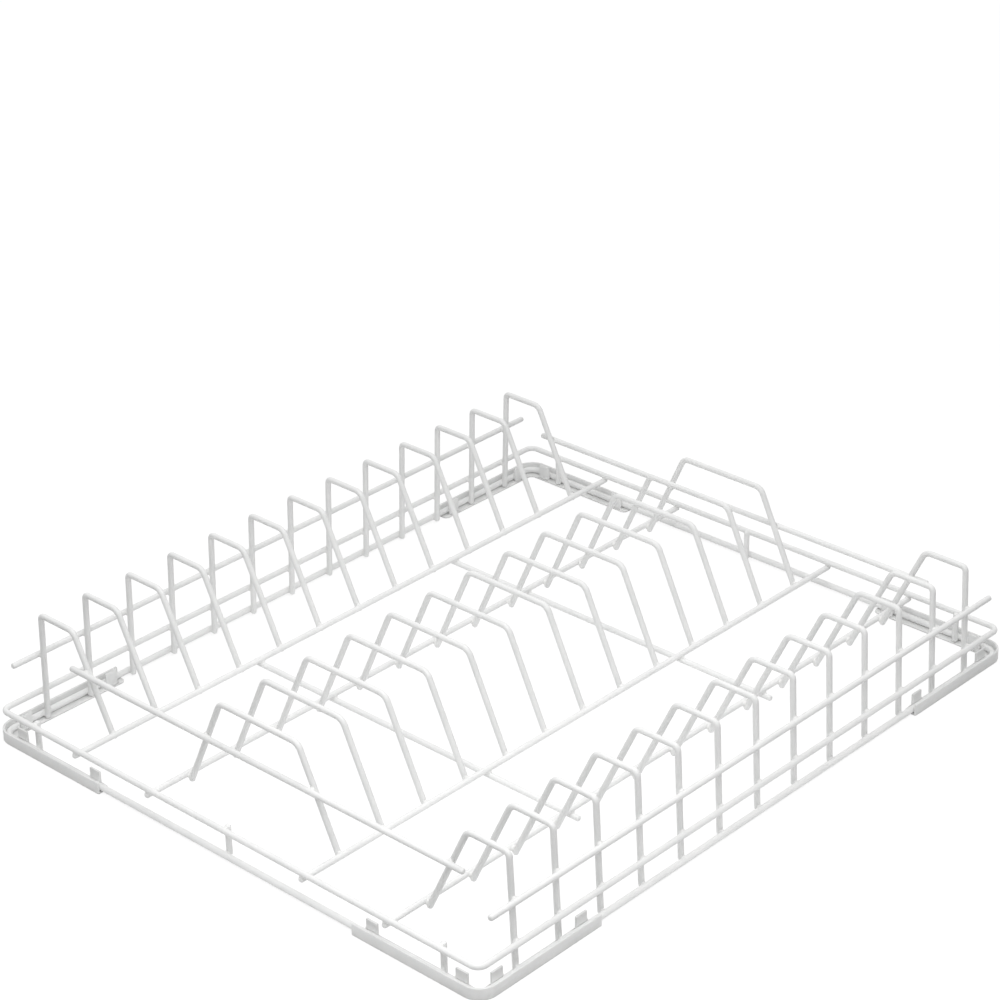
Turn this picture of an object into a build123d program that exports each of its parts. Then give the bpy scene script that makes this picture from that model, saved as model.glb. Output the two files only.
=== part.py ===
from build123d import *
import math
import os

os.makedirs("parts", exist_ok=True)

# Driving dimensions, in millimetres and degrees

# Coated steel wire, drawn with a few flats, and the clearance between two wires where they are welded
wire_diameter = 3.9
ring_wire_diameter = 4.2
wire_sides = 12
wire_tip_chamfer = 0.7
weld_clearance = 0.02

# Bottom ring, along the centre line of its wire, and the tighter corners of the rim
ring_length = 492.5
ring_width = 411.4
ring_corner_radius = 9.0
rim_corner_radius = 6.0

# Heights of the wires' centre lines above the surface that the basket stands on
rim_height = 20.4
side_guard_height = 47.6
end_guard_height = 52.35
side_loop_height = 76.9
centre_loop_height = 78.5

# Divider loops, spaced along the basket's length
loop_pitch = 35.6
outer_leg_lean = 2.5
side_leg_lean = 26.0
centre_leg_lean = 25.1
outer_bend_radius = 3.2
inner_bend_radius = 7.0
bend_chords = 3
leg_ground_gap = 1.4
foot_drop = 4.2

# Floor wires along the length, and the two wires that cross under them
outer_floor_offset = 133.6
inner_floor_offset = 66.6
cross_overhang = 7.0
cross_shift = 2.1

# Guard rails and posts
side_guard_overhang = 22.1
end_guard_overhang = 12.4
post_inset = 31.0
post_rise = 2.2

# Moulded corner shoes that clip on the bottom ring
shoe_base_thickness = 1.1
shoe_wall_thickness = 1.5
shoe_wall_height = 7.9
shoe_base_reach = 5.9
shoe_inner_radius = 3.1
shoe_end_radius = 3.5
shoe_end_margin = 5.5
shoe_edge_chamfer = 0.7
tab_width = 9.0
tab_thickness = 1.5
tab_height = 10.8
tab_root = 1.6
tab_corner_gap = 3.0
tab_leg_room = 2.0
hook_wrap = 40.0
hook_lead = 1.2
shoe_clearance = 0.15
clip_clearance = 0.3
seat_clearance = 0.05

# Spacing between the centre lines of welded wires
wire_radius = wire_diameter / 2
ring_radius = ring_wire_diameter / 2
wire_contact = wire_diameter + weld_clearance
ring_contact = wire_radius + ring_radius + weld_clearance

# Levels and half sizes of the frame
ring_height = shoe_base_thickness + seat_clearance + ring_radius
floor_height = rim_height - wire_contact
cross_height = floor_height - wire_contact
foot_height = floor_height - foot_drop
ring_half_length = ring_length / 2
ring_half_width = ring_width / 2
post_line = ring_half_length - ring_contact
post_offset = ring_half_width - post_inset
rim_half_length = post_line + wire_contact
floor_half_length = rim_half_length + wire_radius


def sloped(spacing, lean):
    """Horizontal distance between a wire and a leg that leans past it at the given spacing."""
    return spacing / math.cos(math.radians(lean))


def drift(rise, lean):
    """Sideways shift of a leaning leg over a rise."""
    return rise * math.tan(math.radians(lean))


def outer_leg_x(height):
    """Distance of an outer leg's centre line from the middle of the basket."""
    at_ring = ring_half_width - sloped(ring_contact, outer_leg_lean)
    return at_ring - drift(height - ring_height, outer_leg_lean)


def side_leg_x(height):
    """The same for the slanted leg of a side loop."""
    at_floor = outer_floor_offset + sloped(wire_contact, side_leg_lean)
    return at_floor + drift(height - floor_height, side_leg_lean)


def centre_leg_x(height):
    """The same for a leg of a centre loop."""
    at_floor = inner_floor_offset - sloped(wire_contact, centre_leg_lean)
    return at_floor - drift(height - floor_height, centre_leg_lean)


rim_half_width = outer_leg_x(rim_height) + sloped(wire_contact, outer_leg_lean)
side_guard_offset = outer_leg_x(side_guard_height) + sloped(wire_contact, outer_leg_lean)

# Stations of the loops: as many as fit between the clip tabs nearest the corners
first_tab = ring_corner_radius + tab_corner_gap + tab_width / 2
first_leg_room = first_tab + tab_width / 2 + tab_leg_room + wire_radius
loop_gaps = int(2 * (ring_half_length - first_leg_room) // loop_pitch)
first_station = -loop_gaps * loop_pitch / 2
stations = [first_station + index * loop_pitch for index in range(loop_gaps + 1)]
side_guard_half_length = stations[-1] + side_guard_overhang
end_guard_line = stations[-1] + wire_contact
end_guard_half_length = side_leg_x(end_guard_height) + end_guard_overhang

# The cross wires lie a quarter of the way in, and a shoe's second tab just past two loops
cross_gap = loop_gaps // 4
cross_line = cross_shift - (stations[cross_gap] + stations[cross_gap + 1]) / 2
second_tab = ring_half_length + (stations[1] + stations[2]) / 2
shoe_arm = second_tab + tab_width / 2 + shoe_end_margin


def finish(piece, name):
    """Label a finished piece and write it out."""
    piece.part.label = name
    export_step(piece.part, f"parts/{name}.step")


def along_x(y, z):
    """Plane across a wire that runs along X through the middle of the basket."""
    return Plane((0, y, z), x_dir=(0, 1, 0), z_dir=(1, 0, 0))


def along_y(x, z):
    """Plane across a wire that runs along Y through the middle of the basket."""
    return Plane((x, 0, z), x_dir=(1, 0, 0), z_dir=(0, 1, 0))


# Bottom ring and rim: closed rounded rectangles of wire
def wire_ring(name, half_width, half_length, height, corner_radius, radius):
    with BuildPart() as ring:
        with BuildLine(Plane.XY.offset(height)) as path:
            FilletPolyline(
                (-half_width, -half_length),
                (half_width, -half_length),
                (half_width, half_length),
                (-half_width, half_length),
                radius=corner_radius,
                close=True,
            )
        with BuildSketch(Plane(path.line @ 0, z_dir=path.line % 0)):
            RegularPolygon(radius, wire_sides)
        sweep(path=path.line)
    finish(ring, name)


wire_ring("bottom_ring", ring_half_width, ring_half_length, ring_height, ring_corner_radius, ring_radius)
wire_ring("rim_ring", rim_half_width, rim_half_length, rim_height, rim_corner_radius, wire_radius)


# Straight wires with eased tips
def straight_wire(name, plane, half_length):
    with BuildPart() as wire:
        with BuildSketch(plane):
            RegularPolygon(wire_radius, wire_sides)
        extrude(amount=half_length, both=True)
        chamfer(wire.faces().sort_by(SortBy.AREA)[:2].edges(), wire_tip_chamfer)
    finish(wire, name)


for side, word in ((-1, "left"), (1, "right")):
    guard_plane = along_y(side * side_guard_offset, side_guard_height)
    straight_wire(f"{word}_guard_rail", guard_plane, side_guard_half_length)
    outer_plane = along_y(side * outer_floor_offset, floor_height)
    straight_wire(f"{word}_outer_floor_wire", outer_plane, floor_half_length)
    inner_plane = along_y(side * inner_floor_offset, floor_height)
    straight_wire(f"{word}_inner_floor_wire", inner_plane, floor_half_length)

for side, word in ((-1, "front"), (1, "rear")):
    guard_plane = along_x(side * end_guard_line, end_guard_height)
    straight_wire(f"{word}_guard_rail", guard_plane, end_guard_half_length)
    cross_plane = along_x(side * cross_line, cross_height)
    straight_wire(f"{word}_cross_wire", cross_plane, outer_floor_offset + cross_overhang)


# Rows of divider loops bent from wire, each bend followed by a few chords
def chorded(line):
    """Points on the plane of a bent line: its ends, the ends of its straight runs and some on each bend."""
    points = [line @ 0]
    for edge in line.edges():
        steps = bend_chords if edge.geom_type == GeomType.CIRCLE else 1
        points += [edge @ (step / steps) for step in range(1, steps + 1)]
    return [(point.X, point.Y) for point in points]


def divider_row(name, corners, bend_radii):
    bent = FilletPolyline(*corners, radius=bend_radii)
    with BuildPart() as loop:
        with BuildLine(Plane.XZ) as path:
            Polyline(*chorded(bent))
        with BuildSketch(Plane(path.line @ 0, z_dir=path.line % 0)):
            RegularPolygon(wire_radius, wire_sides)
        sweep(path=path.line, transition=Transition.RIGHT)
    with BuildPart() as row:
        with Locations(*[(0, station, 0) for station in stations]):
            add(loop.part)
    finish(row, name)


for side, word in ((-1, "left"), (1, "right")):
    side_corners = (
        (side * outer_leg_x(leg_ground_gap), leg_ground_gap),
        (side * outer_leg_x(side_loop_height), side_loop_height),
        (side * side_leg_x(side_loop_height), side_loop_height),
        (side * side_leg_x(foot_height), foot_height),
    )
    divider_row(f"{word}_dividers", side_corners, (outer_bend_radius, inner_bend_radius))

centre_corners = (
    (-centre_leg_x(foot_height), foot_height),
    (-centre_leg_x(centre_loop_height), centre_loop_height),
    (centre_leg_x(centre_loop_height), centre_loop_height),
    (centre_leg_x(foot_height), foot_height),
)
divider_row("centre_dividers", centre_corners, (inner_bend_radius, inner_bend_radius))

# Short posts between the bottom ring and the rim
for side, word in ((-1, "front"), (1, "rear")):
    with BuildPart() as posts:
        with BuildSketch(Plane.XY.offset(leg_ground_gap)):
            with Locations(*[(x, side * post_line) for x in (-post_offset, 0, post_offset)]):
                RegularPolygon(wire_radius, wire_sides)
        extrude(amount=rim_height + post_rise - leg_ground_gap)
    finish(posts, f"{word}_posts")


# Corner shoes: a base and an outer wall round the ring's corner, and tabs that hook over its inner side
def shoe_outline(outward):
    """Plan of a shoe's run round the corner, at a distance outward from the ring's centre line."""
    return FilletPolyline(
        (ring_half_width + outward, ring_half_length - shoe_arm),
        (ring_half_width + outward, ring_half_length + outward),
        (ring_half_width - shoe_arm, ring_half_length + outward),
        radius=ring_corner_radius + outward,
    )


def shoe_base_plan(outward):
    """Plan of the base, with rounded inner corners at the ends of its arms."""
    with BuildSketch() as plan:
        with BuildLine():
            outer = shoe_outline(outward)
            FilletPolyline(
                outer @ 0,
                (ring_half_width - shoe_base_reach, ring_half_length - shoe_arm),
                (ring_half_width - shoe_base_reach, ring_half_length - shoe_base_reach),
                (ring_half_width - shoe_arm, ring_half_length - shoe_base_reach),
                outer @ 1,
                radius=(shoe_end_radius, shoe_inner_radius, shoe_end_radius),
            )
        make_face()
    return plan.sketch


def shoe_wall_plan(outward, inward):
    """Plan of the wall between two distances outward from the ring's centre line."""
    with BuildSketch() as plan:
        with BuildLine():
            outer = shoe_outline(outward)
            inner = shoe_outline(inward)
            Line(outer @ 0, inner @ 0)
            Line(outer @ 1, inner @ 1)
        make_face()
    return plan.sketch


def tab_section(plane):
    """Section of a clip tab on the negative side of the plane, with the ring's centre at the origin."""
    grip = ring_radius + clip_clearance
    wrap = math.radians(hook_wrap)
    nose = grip * math.sin(wrap)
    back = -grip - tab_thickness
    base = shoe_base_thickness - ring_height
    top = tab_height - ring_height
    with BuildSketch(plane) as section:
        with BuildLine():
            Polyline(
                (-grip, base),
                (-grip, 0),
                (-grip * math.cos(wrap), nose),
                (-grip, nose + hook_lead),
                (-grip, top),
                (back, top),
                (back, base + tab_root),
                (back - tab_root, base),
                close=True,
            )
        make_face()
    return section.sketch


inner_wall_face = ring_radius + shoe_clearance
outer_wall_face = inner_wall_face + shoe_wall_thickness
with BuildPart() as corner_shoe:
    extrude(shoe_base_plan(outer_wall_face), amount=shoe_base_thickness)
    extrude(shoe_wall_plan(outer_wall_face, inner_wall_face), amount=shoe_wall_height)
    for distance in (first_tab, second_tab):
        side_tab = Plane(
            (ring_half_width, ring_half_length - distance, ring_height),
            x_dir=(1, 0, 0),
            z_dir=(0, -1, 0),
        )
        end_tab = Plane(
            (ring_half_width - distance, ring_half_length, ring_height),
            x_dir=(0, 1, 0),
            z_dir=(1, 0, 0),
        )
        extrude(tab_section(side_tab), amount=tab_width / 2, both=True)
        extrude(tab_section(end_tab), amount=tab_width / 2, both=True)
    outer_bottom_edge = corner_shoe.edges().group_by(Axis.Z)[0].sort_by(SortBy.LENGTH)[-1]
    chamfer(outer_bottom_edge, shoe_edge_chamfer)

for word, turn in (("rear_right", 0), ("front_left", 180)):
    with BuildPart() as shoe:
        add(corner_shoe.part, rotation=(0, 0, turn))
    finish(shoe, f"{word}_shoe")
for word, plane in (("rear_left", Plane.YZ), ("front_right", Plane.XZ)):
    with BuildPart() as shoe:
        mirror(corner_shoe.part, about=plane)
    finish(shoe, f"{word}_shoe")
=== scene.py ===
import math

import bmesh
import bpy
from mathutils import Matrix, Vector


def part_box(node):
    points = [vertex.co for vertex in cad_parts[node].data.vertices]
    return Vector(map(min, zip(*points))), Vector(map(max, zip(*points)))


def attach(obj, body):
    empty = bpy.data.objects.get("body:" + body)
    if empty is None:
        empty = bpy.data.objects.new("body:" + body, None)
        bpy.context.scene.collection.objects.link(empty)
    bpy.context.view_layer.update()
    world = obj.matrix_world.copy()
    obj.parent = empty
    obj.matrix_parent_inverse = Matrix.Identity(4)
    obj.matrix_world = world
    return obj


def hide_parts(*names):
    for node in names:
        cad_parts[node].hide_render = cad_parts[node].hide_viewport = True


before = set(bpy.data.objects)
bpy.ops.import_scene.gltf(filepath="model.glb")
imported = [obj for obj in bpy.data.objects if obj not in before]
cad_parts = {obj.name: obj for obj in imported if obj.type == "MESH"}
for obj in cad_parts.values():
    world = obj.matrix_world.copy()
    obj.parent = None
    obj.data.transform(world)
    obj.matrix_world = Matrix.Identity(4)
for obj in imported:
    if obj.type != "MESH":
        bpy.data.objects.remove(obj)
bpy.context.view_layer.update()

MM = 0.001
X, Y, Z = Vector((1, 0, 0)), Vector((0, 1, 0)), Vector((0, 0, 1))

# Bends and leans of the wires
ring_corner_radius = 9.0 * MM
rim_corner_radius = 6.0 * MM
outer_bend_radius = 3.2 * MM
inner_bend_radius = 7.0 * MM
outer_leg_lean = math.radians(2.5)
side_leg_lean = math.radians(26.0)
centre_leg_lean = math.radians(25.1)
loop_count = 13

# Coating of the wires: rounded tips, and a bead where two wires are welded
tip_radius = 1.3 * MM
weld_reach = 1.86 * MM
weld_run = 2.8 * MM
weld_pinch = 0.12 * MM
weld_sink = 0.05 * MM

# Corner shoes
shoe_base_thickness = 1.1 * MM
shoe_wall_thickness = 1.5 * MM
shoe_wall_height = 7.9 * MM
shoe_base_reach = 5.9 * MM
shoe_clearance = 0.15 * MM
shoe_edge_radius = 0.35 * MM
shoe_end_radius = 3.5 * MM
tab_width = 9.0 * MM
tab_thickness = 1.5 * MM
tab_corner_gap = 3.0 * MM
tab_end_margin = 5.5 * MM
tab_edge_radius = 0.25 * MM
tab_root = 1.6 * MM
tab_sink = 0.3 * MM
clip_clearance = 0.3 * MM
hook_wrap = math.radians(40)
hook_lead = 1.2 * MM

# White coating of the wires: tone, weld beads that are creamier and partly painted shade in the crevice,
# gloss, fine peel and slow runs
wire_tone_dark = (0.83, 0.835, 0.83, 1)
wire_tone_pale = (0.88, 0.88, 0.875, 1)
wire_tone_grain = 45
# Weld beads: creamier build-up of coating, darkened a little as painted shade in the crevice between the
# wires
weld_tint_and_shade_dark = (0.81, 0.81, 0.80, 1)
weld_tint_and_shade_pale = (0.87, 0.87, 0.86, 1)
weld_tint_and_shade_grain = 400
wire_gloss_grain = 160
wire_rough_least = 0.30
wire_rough_most = 0.46
peel_grain = 700
peel_strength = 0.25
peel_depth = 0.06 * MM
runs_grain = 120
runs_strength = 0.35
runs_depth = 0.15 * MM

# White plastic of the shoes: tone, painted shade along the bottom edge, gloss, depth of light and
# moulded grain
shoe_tone_dark = (0.78, 0.785, 0.78, 1)
shoe_tone_pale = (0.83, 0.83, 0.825, 1)
shoe_tone_grain = 60
# Painted shade along the bottom edge of the shoe, where it meets the floor
foot_shade_dark = (0.63, 0.63, 0.62, 1)
foot_shade_pale = (0.74, 0.74, 0.73, 1)
foot_shade_grain = 500
foot_shade_low = 0.2 * MM
foot_shade_high = 1.6 * MM
foot_shade_most = 0.7
shoe_gloss_grain = 260
shoe_rough_least = 0.44
shoe_rough_most = 0.58
shoe_glow_weight = 0.5
shoe_glow_depth = 2.5 * MM
mould_grain = 2600
mould_strength = 0.35
mould_depth = 0.05 * MM

# Studio: pale floor, a soft panel overhead, and surroundings that are dimmer near the horizon
white = (1, 1, 1, 1)
floor_size = 8.0
floor_gap = 0.2 * MM
floor_tone = 0.9
floor_tone_far = 0.22
floor_near = 0.2
floor_far = 0.55
floor_tone_seen = 0.22
floor_glow_seen = 0.84
floor_mottle = 0.02
floor_mottle_grain = 6
floor_roughness = 0.9
lamp_size = 1.2
lamp_place = Vector((0.52, -0.52, 0.78))
lamp_power = 5.44
zenith_light = 1.37
sky_falloff = 1.5

# View from the front right
view_sensor = 36.0
view_lens = 105.8007
view_place = Vector((1.10806, -1.1776244, 0.9720919))
view_turn = (62.8018, 1.0316, 42.8533)

# Fineness of the curves
wire_sides = 24
bend_step = math.radians(6)
tip_steps = 4
weld_sides = 20
weld_rows = 8
edge_steps = 3
round_steps = 6
tab_edge_steps = 2
tab_edge_angle = math.radians(30)
tab_edge_profile = 0.5
crease_angle = math.radians(40)


# Sizes of the basket's pieces
def middle(node):
    low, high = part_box(node)
    return (low + high) / 2


def half_size(node):
    low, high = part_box(node)
    return (high - low) / 2


wire_radius = half_size("left_guard_rail").z
ring_radius = half_size("bottom_ring").z
ring_half = half_size("bottom_ring") - Vector((ring_radius, ring_radius, 0))
rim_half = half_size("rim_ring") - Vector((wire_radius, wire_radius, 0))
ring_height = middle("bottom_ring").z
rim_height = middle("rim_ring").z
side_guard = middle("right_guard_rail")
end_guard = middle("rear_guard_rail")
outer_floor = middle("right_outer_floor_wire")
inner_floor = middle("right_inner_floor_wire")
cross_lines = [middle("front_cross_wire").y, middle("rear_cross_wire").y]
post_line = middle("rear_posts").y
post_offset = half_size("rear_posts").x - wire_radius
shoe_height = half_size("rear_right_shoe").z * 2
weld_gap = rim_height - outer_floor.z - 2 * wire_radius
wire_contact = 2 * wire_radius + weld_gap
ring_contact = wire_radius + ring_radius + weld_gap

row_low, row_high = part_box("right_dividers")
centre_low, centre_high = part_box("centre_dividers")
first_station = row_low.y + wire_radius
last_station = row_high.y - wire_radius
stations = [
    first_station + (last_station - first_station) * index / (loop_count - 1)
    for index in range(loop_count)
]
side_loop_height = row_high.z - wire_radius
centre_loop_height = centre_high.z - wire_radius
leg_foot = row_low.z + wire_radius * math.sin(outer_leg_lean)
slanted_foot = centre_low.z + wire_radius * math.sin(centre_leg_lean)


def outer_leg_x(height):
    at_ring = ring_half.x - ring_contact / math.cos(outer_leg_lean)
    return at_ring - (height - ring_height) * math.tan(outer_leg_lean)


def side_leg_x(height):
    at_floor = outer_floor.x + wire_contact / math.cos(side_leg_lean)
    return at_floor + (height - outer_floor.z) * math.tan(side_leg_lean)


def centre_leg_x(height):
    at_floor = inner_floor.x - wire_contact / math.cos(centre_leg_lean)
    return at_floor - (height - inner_floor.z) * math.tan(centre_leg_lean)


# Round wires and their welds
def loft(bm, rings, closed=False):
    """Skin a row of vertex rings, and cap the two ends of an open row."""
    following = rings[1:] + rings[:1] if closed else rings[1:]
    for ring, other in zip(rings, following):
        for a, b, c, d in zip(ring, ring[1:] + ring[:1], other[1:] + other[:1], other):
            bm.faces.new((a, b, c, d))
    if not closed:
        bm.faces.new(reversed(rings[0]))
        bm.faces.new(rings[-1])


def bend(before, corner, after, radius):
    """Points on the arc that rounds a corner between two straight runs."""
    arrive = (corner - before).normalized()
    leave = (after - corner).normalized()
    turn = arrive.angle(leave)
    start = corner - arrive * radius * math.tan(turn / 2)
    centre = corner + (leave - arrive).normalized() * radius / math.cos(turn / 2)
    steps = math.ceil(turn / bend_step)
    axis = arrive.cross(leave)
    return [
        centre + Matrix.Rotation(turn * step / steps, 3, axis) @ (start - centre)
        for step in range(steps + 1)
    ]


def bent_run(corners, radii):
    """Points of an open wire through the corners, each rounded to its radius."""
    points = [corners[0]]
    for before, corner, after, radius in zip(corners, corners[1:], corners[2:], radii):
        points += bend(before, corner, after, radius)
    return points + [corners[-1]]


def tube(bm, points, normal, radii, closed=False):
    """Skin a round wire along points that lie in the plane across the normal."""
    last = len(points) - 1
    rings = []
    for index, (point, radius) in enumerate(zip(points, radii)):
        behind = points[index - 1] if closed or index else point
        ahead = points[(index + 1) % len(points)] if closed or index < last else point
        outward = normal.cross(ahead - behind).normalized()
        rings.append([
            bm.verts.new(point + radius * (math.cos(angle) * outward + math.sin(angle) * normal))
            for angle in (math.tau * side / wire_sides for side in range(wire_sides))
        ])
    loft(bm, rings, closed)


def tipped_wire(bm, points, normal):
    """A wire with a rounded tip of coating at each end."""
    head = (points[1] - points[0]).normalized()
    tail = (points[-2] - points[-1]).normalized()
    turns = [math.pi / 2 * step / tip_steps for step in range(tip_steps + 1)]
    depths = [tip_radius * (1 - math.cos(turn)) for turn in turns]
    widths = [wire_radius - tip_radius * (1 - math.sin(turn)) for turn in turns]
    first = [points[0] + head * depth for depth in depths]
    final = [points[-1] + tail * depth for depth in reversed(depths)]
    run = points[1:-1]
    radii = widths + [wire_radius] * len(run) + widths[::-1]
    tube(bm, first + run + final, normal, radii)


def sag(radius, offset):
    """Drop of a round wire's surface at an offset from its crest."""
    return radius - math.sqrt(radius * radius - offset * offset)


def weld(bm, centre, along, normal, carrier_radius, run):
    """A bead of coating where a wire crosses its carrier, which runs out along both of them."""
    contact = centre + normal * carrier_radius
    aside = normal.cross(along)
    rings = []
    for row in range(weld_rows + 1):
        share = row / weld_rows
        pinch = weld_pinch * math.sin(math.pi * share)
        on_carrier = run + (weld_reach - run) * share - pinch
        on_wire = weld_reach + (run - weld_reach) * share - pinch
        ring = []
        for side in range(weld_sides):
            angle = math.tau * side / weld_sides
            low = -sag(carrier_radius, weld_reach * math.sin(angle)) - weld_sink
            high = weld_gap + sag(wire_radius, weld_reach * math.cos(angle)) + weld_sink
            spread = along * on_carrier * math.cos(angle) + aside * on_wire * math.sin(angle)
            level = normal * (low + (high - low) * share)
            ring.append(bm.verts.new(contact + spread + level))
        rings.append(ring)
    loft(bm, rings)
    # The mark gives the bead its creamier tone and its painted shade in the coating
    mark = bm.verts.layers.float["weld"]
    for ring in rings:
        for vertex in ring:
            vertex[mark] = 1.0


# Pieces
def new_mesh():
    bm = bmesh.new()
    bm.verts.layers.float.new("weld")
    return bm


def finish_piece(bm, node, material):
    """Make one piece of the basket from its mesh."""
    bmesh.ops.recalc_face_normals(bm, faces=bm.faces)
    mesh = bpy.data.meshes.new(node + "_mesh")
    bm.to_mesh(mesh)
    bm.free()
    mesh.shade_smooth()
    mesh.set_sharp_from_angle(angle=crease_angle)
    mesh.materials.append(material)
    piece = bpy.data.objects.new(node + "_piece", mesh)
    bpy.context.scene.collection.objects.link(piece)
    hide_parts(node)
    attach(piece, "root")


def finish_wire(bm, node):
    finish_piece(bm, node, coating)


# Finishes
class Nodes:
    """Short calls that build up one finish."""

    noise_low = 0.3
    noise_high = 0.7

    def __init__(self, owner):
        self.tree = owner.node_tree
        self.shader = self.tree.nodes.get("Principled BSDF") or self.tree.nodes["Background"]
        self.places = self.add("ShaderNodeTexCoord").outputs

    def add(self, kind, **inputs):
        node = self.tree.nodes.new(kind)
        for name, value in inputs.items():
            self.set(node.inputs[name], value)
        return node

    def set(self, socket, value):
        if isinstance(value, bpy.types.NodeSocket):
            self.tree.links.new(value, socket)
        else:
            socket.default_value = value

    def shade(self, name, value):
        self.set(self.shader.inputs[name], value)

    def noise(self, grain, detail=3.0):
        noise = self.add("ShaderNodeTexNoise", Vector=self.places["Object"], Scale=grain, Detail=detail)
        return noise.outputs["Fac"]

    def remap(self, value, start, end, low, high):
        """Map the range from start to end onto the range from low to high."""
        node = self.add("ShaderNodeMapRange", Value=value)
        for name, limit in (("From Min", start), ("From Max", end), ("To Min", low), ("To Max", high)):
            self.set(node.inputs[name], limit)
        return node.outputs["Result"]

    def spread(self, grain, low, high):
        """Noise, which stays near its middle, mapped onto a range of values."""
        return self.remap(self.noise(grain), self.noise_low, self.noise_high, low, high)

    def mottled(self, grain, dark, pale):
        return self.blend(self.spread(grain, 0, 1), dark, pale)

    def math(self, operation, first, second):
        node = self.add("ShaderNodeMath")
        node.operation = operation
        self.set(node.inputs[0], first)
        self.set(node.inputs[1], second)
        return node.outputs[0]

    def height(self, place):
        return self.add("ShaderNodeSeparateXYZ", Vector=self.places[place]).outputs["Z"]

    def distance(self):
        node = self.add("ShaderNodeVectorMath")
        node.operation = "LENGTH"
        self.set(node.inputs[0], self.places["Object"])
        return node.outputs["Value"]

    def blend(self, factor, first, second):
        node = self.add("ShaderNodeMix", Factor=factor)
        node.data_type = "RGBA"
        self.set(node.inputs[6], first)
        self.set(node.inputs[7], second)
        return node.outputs[2]

    def bump(self, height, strength, distance, under=None):
        node = self.add("ShaderNodeBump", Height=height, Strength=strength, Distance=distance)
        if under is not None:
            self.set(node.inputs["Normal"], under)
        return node.outputs["Normal"]


def new_material(name):
    material = bpy.data.materials.new(name)
    material.use_nodes = True
    return material


def coated_wire():
    """White plastic coating: slightly uneven in tone and gloss, with a faint orange peel; the weld beads
    are creamier and a little darker, partly painted shade where the wires cross.
    """
    material = new_material("coated_wire")
    nodes = Nodes(material)
    tone = nodes.mottled(wire_tone_grain, wire_tone_dark, wire_tone_pale)
    # Weld beads: the coating's creamier build-up, darkened a little as painted shade in the crevice
    # between the wires
    weld_tint_and_shade = nodes.mottled(weld_tint_and_shade_grain, weld_tint_and_shade_dark, weld_tint_and_shade_pale)
    weld_bead_mask = nodes.add("ShaderNodeAttribute")
    weld_bead_mask.attribute_name = "weld"
    nodes.shade("Base Color", nodes.blend(weld_bead_mask.outputs["Fac"], tone, weld_tint_and_shade))
    nodes.shade("Roughness", nodes.spread(wire_gloss_grain, wire_rough_least, wire_rough_most))
    peel = nodes.bump(nodes.noise(peel_grain, detail=2), peel_strength, peel_depth)
    runs = nodes.bump(nodes.noise(runs_grain, detail=1), runs_strength, runs_depth, peel)
    nodes.shade("Normal", runs)
    return material


def moulded_shoe():
    """White satin plastic with a fine moulded grain, with painted shade making it greyer along the
    bottom edge next to the floor.
    """
    material = new_material("moulded_shoe")
    nodes = Nodes(material)
    # Painted shade: the lowest band of the shoe, just above the floor, is mixed towards a darker grey
    foot_shade = nodes.remap(nodes.height("Object"), foot_shade_low, foot_shade_high, foot_shade_most, 0.0)
    tone = nodes.mottled(shoe_tone_grain, shoe_tone_dark, shoe_tone_pale)
    shaded_foot_tone = nodes.mottled(foot_shade_grain, foot_shade_dark, foot_shade_pale)
    nodes.shade("Base Color", nodes.blend(foot_shade, tone, shaded_foot_tone))
    nodes.shade("Roughness", nodes.spread(shoe_gloss_grain, shoe_rough_least, shoe_rough_most))
    nodes.shade("Subsurface Weight", shoe_glow_weight)
    nodes.shade("Subsurface Radius", (1, 1, 1))
    nodes.shade("Subsurface Scale", shoe_glow_depth)
    nodes.shade("Normal", nodes.bump(nodes.noise(mould_grain, detail=2), mould_strength, mould_depth))
    return material


coating = coated_wire()
plastic = moulded_shoe()


# Bottom ring and rim
def wire_ring(node, half, height, corner_radius, radius):
    bm = new_mesh()
    corners = [
        Vector((sx * half.x, sy * half.y, height))
        for sx, sy in ((-1, -1), (1, -1), (1, 1), (-1, 1))
    ]
    points = []
    for before, corner, after in zip(corners[-1:] + corners, corners, corners[1:] + corners[:1]):
        points += bend(before, corner, after, corner_radius)
    tube(bm, points, Z, [radius] * len(points), closed=True)
    finish_wire(bm, node)


wire_ring("bottom_ring", ring_half, ring_height, ring_corner_radius, ring_radius)
wire_ring("rim_ring", rim_half, rim_height, rim_corner_radius, wire_radius)


# Straight wires
def straight_wire(bm, node, direction):
    reach = direction * half_size(node).dot(direction)
    tipped_wire(bm, [middle(node) - reach, middle(node) + reach], Z)


def plain_wire(node, direction):
    bm = new_mesh()
    straight_wire(bm, node, direction)
    finish_wire(bm, node)


def floor_wire(node):
    """A floor wire with its welds under the rim and over the cross wires."""
    bm = new_mesh()
    straight_wire(bm, node, Y)
    floor = middle(node)
    for side in (-1, 1):
        under_rim = Vector((floor.x, side * rim_half.y, rim_height))
        weld(bm, under_rim, X, -Z, wire_radius, weld_reach)
    for line in cross_lines:
        weld(bm, Vector((floor.x, line, floor.z)), Y, -Z, wire_radius, weld_run)
    finish_wire(bm, node)


for word in ("left", "right"):
    plain_wire(f"{word}_guard_rail", Y)
    floor_wire(f"{word}_outer_floor_wire")
    floor_wire(f"{word}_inner_floor_wire")

for word in ("front", "rear"):
    plain_wire(f"{word}_guard_rail", X)
    plain_wire(f"{word}_cross_wire", X)


# Divider loops, each welded where it passes the wires that carry it
def across_leg(side, lean):
    """The way straight across a leg that leans outward going up."""
    return Vector((side * math.cos(lean), 0, -math.sin(lean)))


def end_weld(bm, x, station):
    """Weld of a leg to the guard rail past the row's end."""
    if station in (stations[0], stations[-1]):
        past = math.copysign(1, station)
        at_guard = Vector((x, past * end_guard.y, end_guard.z))
        weld(bm, at_guard, X, -past * Y, wire_radius, weld_run)


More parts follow.
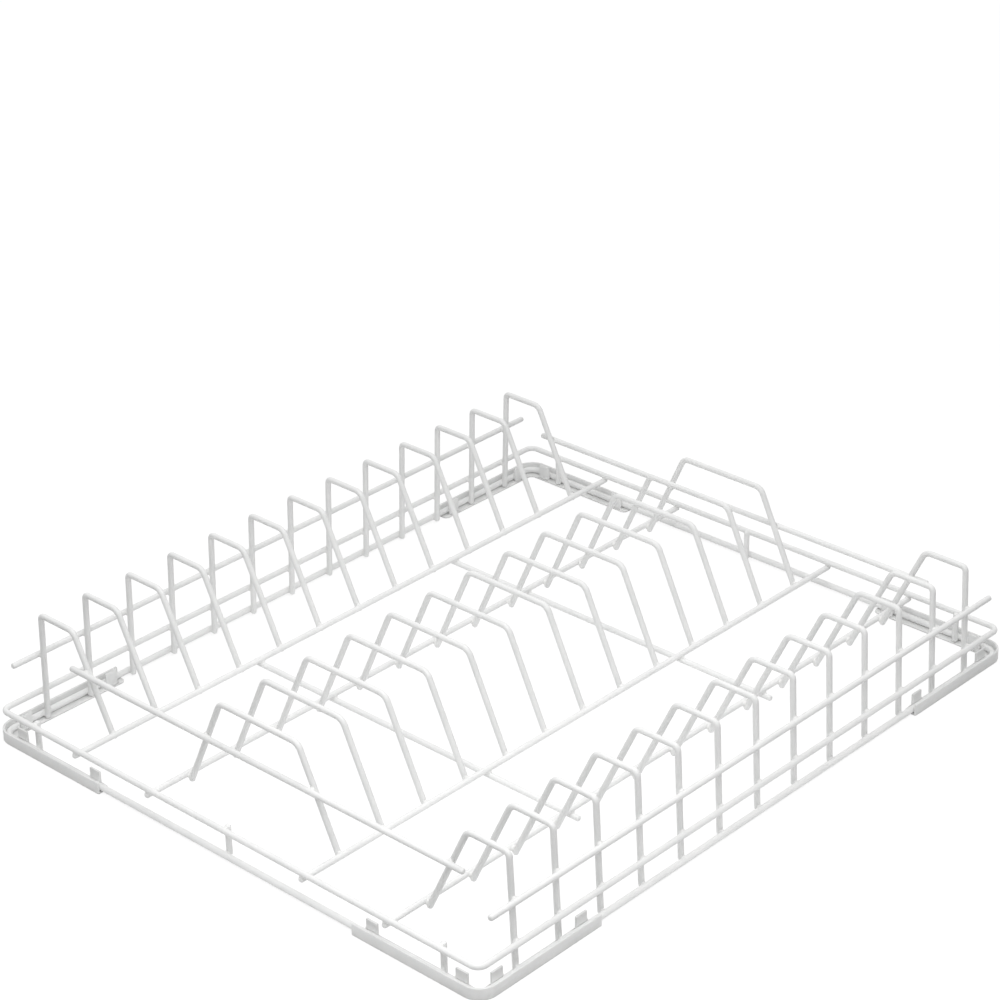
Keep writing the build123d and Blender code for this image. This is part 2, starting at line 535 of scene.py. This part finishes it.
def side_loop(bm, side, station):
    """A loop with an upright outer leg and a slanted inner leg."""
    corners = [
        Vector((side * leg_x(height), station, height))
        for leg_x, height in (
            (outer_leg_x, leg_foot), (outer_leg_x, side_loop_height),
            (side_leg_x, side_loop_height), (side_leg_x, slanted_foot),
        )
    ]
    tipped_wire(bm, bent_run(corners, (outer_bend_radius, inner_bend_radius)), Y)
    inward = -across_leg(side, -outer_leg_lean)
    at_ring = Vector((side * ring_half.x, station, ring_height))
    at_rim = Vector((side * rim_half.x, station, rim_height))
    at_guard = Vector((side * side_guard.x, station, side_guard.z))
    at_floor = Vector((side * outer_floor.x, station, outer_floor.z))
    weld(bm, at_ring, Y, inward, ring_radius, weld_reach)
    weld(bm, at_rim, Y, inward, wire_radius, weld_run)
    weld(bm, at_guard, Y, inward, wire_radius, weld_run)
    weld(bm, at_floor, Y, across_leg(side, side_leg_lean), wire_radius, weld_run)
    end_weld(bm, side * side_leg_x(end_guard.z), station)


def centre_loop(bm, station):
    """A symmetric loop with two slanted legs."""
    corners = [
        Vector((side * centre_leg_x(height), station, height))
        for side, height in (
            (-1, slanted_foot), (-1, centre_loop_height), (1, centre_loop_height), (1, slanted_foot),
        )
    ]
    tipped_wire(bm, bent_run(corners, (inner_bend_radius, inner_bend_radius)), Y)
    for side in (-1, 1):
        at_floor = Vector((side * inner_floor.x, station, inner_floor.z))
        weld(bm, at_floor, Y, -across_leg(side, -centre_leg_lean), wire_radius, weld_run)
        end_weld(bm, side * centre_leg_x(end_guard.z), station)


for side, word in ((-1, "left"), (1, "right")):
    bm = new_mesh()
    for station in stations:
        side_loop(bm, side, station)
    finish_wire(bm, f"{word}_dividers")

bm = new_mesh()
for station in stations:
    centre_loop(bm, station)
finish_wire(bm, "centre_dividers")

# Posts between the two rings
for side, word in ((-1, "front"), (1, "rear")):
    bm = new_mesh()
    low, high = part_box(f"{word}_posts")
    for x in (-post_offset, 0, post_offset):
        tipped_wire(bm, [Vector((x, side * post_line, z)) for z in (low.z, high.z)], Y)
        at_ring = Vector((x, side * ring_half.y, ring_height))
        at_rim = Vector((x, side * rim_half.y, rim_height))
        weld(bm, at_ring, X, -side * Y, ring_radius, weld_reach)
        weld(bm, at_rim, X, -side * Y, wire_radius, weld_reach)
    finish_wire(bm, f"{word}_posts")


# Corner shoes
def rounded(outline, radius):
    """A closed outline with its corners rounded, as pairs of outward distance and height."""
    points = []
    for before, corner, after in zip(outline[-1:] + outline, outline, outline[1:] + outline[:1]):
        start = corner - (corner - before).normalized() * radius
        end = corner + (after - corner).normalized() * radius
        for step in range(edge_steps + 1):
            share = step / edge_steps
            points.append(start.lerp(corner, share).lerp(corner.lerp(end, share), share))
    return points


def band_outline(inset, trim):
    """Section of a shoe's base and wall, drawn in all round by the inset and at the base by the trim."""
    wall = ring_radius + shoe_clearance
    outer = wall + shoe_wall_thickness - inset
    low, top = inset, shoe_wall_height - inset
    ledge = shoe_base_thickness - inset
    inner = inset + trim - shoe_base_reach
    corners = (
        (outer, low), (outer, top), (wall + inset, top),
        (wall + inset, ledge), (inner, ledge), (inner, low),
    )
    return rounded([Vector((out, height, 0)) for out, height in corners], shoe_edge_radius)


def tab_outline():
    """Section of a clip tab, with a nose that hooks over the ring and a rounded root."""
    grip = ring_radius + clip_clearance
    back = -grip - tab_thickness
    base = shoe_base_thickness
    nose = ring_height + grip * math.sin(hook_wrap)
    points = [(-grip, base - tab_sink), (-grip, ring_height), (-grip * math.cos(hook_wrap), nose)]
    points += [(-grip, nose + hook_lead), (-grip, shoe_height), (back, shoe_height)]
    for step in range(round_steps + 1):
        turn = math.pi / 2 * step / round_steps
        out = back - tab_root * (1 - math.cos(turn))
        points.append((out, base + tab_root * (1 - math.sin(turn))))
    points.append((back - tab_root, base - tab_sink))
    return points


def clip_tab(bm, centre, along, outward):
    rings = [
        [
            bm.verts.new(centre + along * shift + outward * out + Z * height)
            for out, height in tab_outline()
        ]
        for shift in (-tab_width / 2, tab_width / 2)
    ]
    loft(bm, rings)


def ease_tabs(bm):
    """Round the sharp edges of the tabs."""
    bmesh.ops.recalc_face_normals(bm, faces=bm.faces)
    sharp = [edge for edge in bm.edges if edge.calc_face_angle() > tab_edge_angle]
    bmesh.ops.bevel(
        bm, geom=sharp, offset=tab_edge_radius, segments=tab_edge_steps,
        profile=tab_edge_profile, affect="EDGES",
    )


def eased(depth, radius):
    """How far a rounded end is drawn in at a depth from it."""
    short = max(radius - depth, 0)
    return radius - math.sqrt(radius * radius - short * short)


def end_stops(end, inward, outward):
    """Sections of a shoe near the end of an arm, which rounds the base's inner corner."""
    depths = {
        radius * (1 - math.cos(math.pi / 2 * step / round_steps))
        for radius in (shoe_edge_radius, shoe_end_radius)
        for step in range(round_steps + 1)
    }
    return [
        (end + inward * depth, outward, eased(depth, shoe_edge_radius), eased(depth, shoe_end_radius))
        for depth in sorted(depths)
    ]


def corner_shoe(node, sx, sy):
    arm = half_size(node).x * 2 - ring_radius - shoe_clearance - shoe_wall_thickness
    corner = Vector((sx * ring_half.x, sy * ring_half.y, 0))
    side_end = corner - Vector((0, sy * arm, 0))
    end_end = corner - Vector((sx * arm, 0, 0))
    bm = new_mesh()

    first_tab = ring_corner_radius + tab_corner_gap + tab_width / 2
    second_tab = arm - tab_end_margin - tab_width / 2
    for distance in (first_tab, second_tab):
        clip_tab(bm, corner - sy * Y * distance, sy * Y, sx * X)
        clip_tab(bm, corner - sx * X * distance, sx * X, sy * Y)
    ease_tabs(bm)

    centre = corner - Vector((sx * ring_corner_radius, sy * ring_corner_radius, 0))
    arc = bend(side_end, corner, end_end, ring_corner_radius)
    stops = end_stops(side_end, sy * Y, sx * X)
    stops += [(point, (point - centre).normalized(), 0, 0) for point in arc]
    stops += reversed(end_stops(end_end, sx * X, sy * Y))
    rings = [
        [bm.verts.new(point + outward * spot.x + Z * spot.y) for spot in band_outline(inset, trim)]
        for point, outward, inset, trim in stops
    ]
    loft(bm, rings)
    finish_piece(bm, node, plastic)


for end, sy in (("front", -1), ("rear", 1)):
    for hand, sx in (("left", -1), ("right", 1)):
        corner_shoe(f"{end}_{hand}_shoe", sx, sy)


# Floor, light and surroundings
def background_ray(nodes):
    """One for a ray that shows the background: seen straight, mirrored, or through something clear."""
    path = nodes.add("ShaderNodeLightPath").outputs
    beyond = nodes.math("MAXIMUM", path["Is Glossy Ray"], path["Is Transmission Ray"])
    return nodes.math("MAXIMUM", path["Is Camera Ray"], beyond)


def studio_floor():
    """A pale floor that looks white, with the object's shadow left faint."""
    mesh = bpy.data.meshes.new("studio_floor_mesh")
    half = floor_size / 2
    outline = ((-half, -half), (half, -half), (half, half), (-half, half))
    mesh.from_pydata([(x, y, -floor_gap) for x, y in outline], [], [(0, 1, 2, 3)])
    floor = bpy.data.objects.new("studio_floor", mesh)
    bpy.context.scene.collection.objects.link(floor)
    material = new_material("studio_floor")
    mesh.materials.append(material)
    nodes = Nodes(material)
    seen = background_ray(nodes)
    mottle = nodes.spread(floor_mottle_grain, 1 - floor_mottle, 1 + floor_mottle)
    fading = nodes.remap(nodes.distance(), floor_near, floor_far, floor_tone, floor_tone_far)
    tone = nodes.remap(seen, 0, 1, fading, floor_tone_seen)
    nodes.shade("Base Color", nodes.math("MULTIPLY", mottle, tone))
    nodes.shade("Emission Strength", nodes.remap(seen, 0, 1, 0, floor_glow_seen))
    nodes.shade("Emission Color", white)
    nodes.shade("Roughness", floor_roughness)
    nodes.shade("Specular IOR Level", 0.0)


def studio_light():
    lamp = bpy.data.lights.new("softbox", "AREA")
    lamp.shape = "SQUARE"
    lamp.size = lamp_size
    lamp.energy = lamp_power
    softbox = bpy.data.objects.new("softbox", lamp)
    softbox.location = lamp_place
    bpy.context.scene.collection.objects.link(softbox)


def studio_world():
    """White where the view goes past the floor, and a soft sky for everything else."""
    world = bpy.data.worlds.new("white_studio")
    world.use_nodes = True
    nodes = Nodes(world)
    above = nodes.math("MAXIMUM", nodes.height("Generated"), 0.0)
    sky = nodes.math("MULTIPLY", nodes.math("POWER", above, sky_falloff), zenith_light)
    nodes.shade("Color", white)
    nodes.shade("Strength", nodes.math("MAXIMUM", background_ray(nodes), sky))
    bpy.context.scene.world = world


def studio_camera():
    camera = bpy.data.objects.new("camera", bpy.data.cameras.new("camera"))
    camera.data.sensor_width = view_sensor
    camera.data.lens = view_lens
    camera.location = view_place
    camera.rotation_euler = [math.radians(angle) for angle in view_turn]
    bpy.context.scene.collection.objects.link(camera)
    bpy.context.scene.camera = camera
    bpy.context.scene.view_settings.view_transform = "Standard"


studio_floor()
studio_light()
studio_world()
studio_camera()
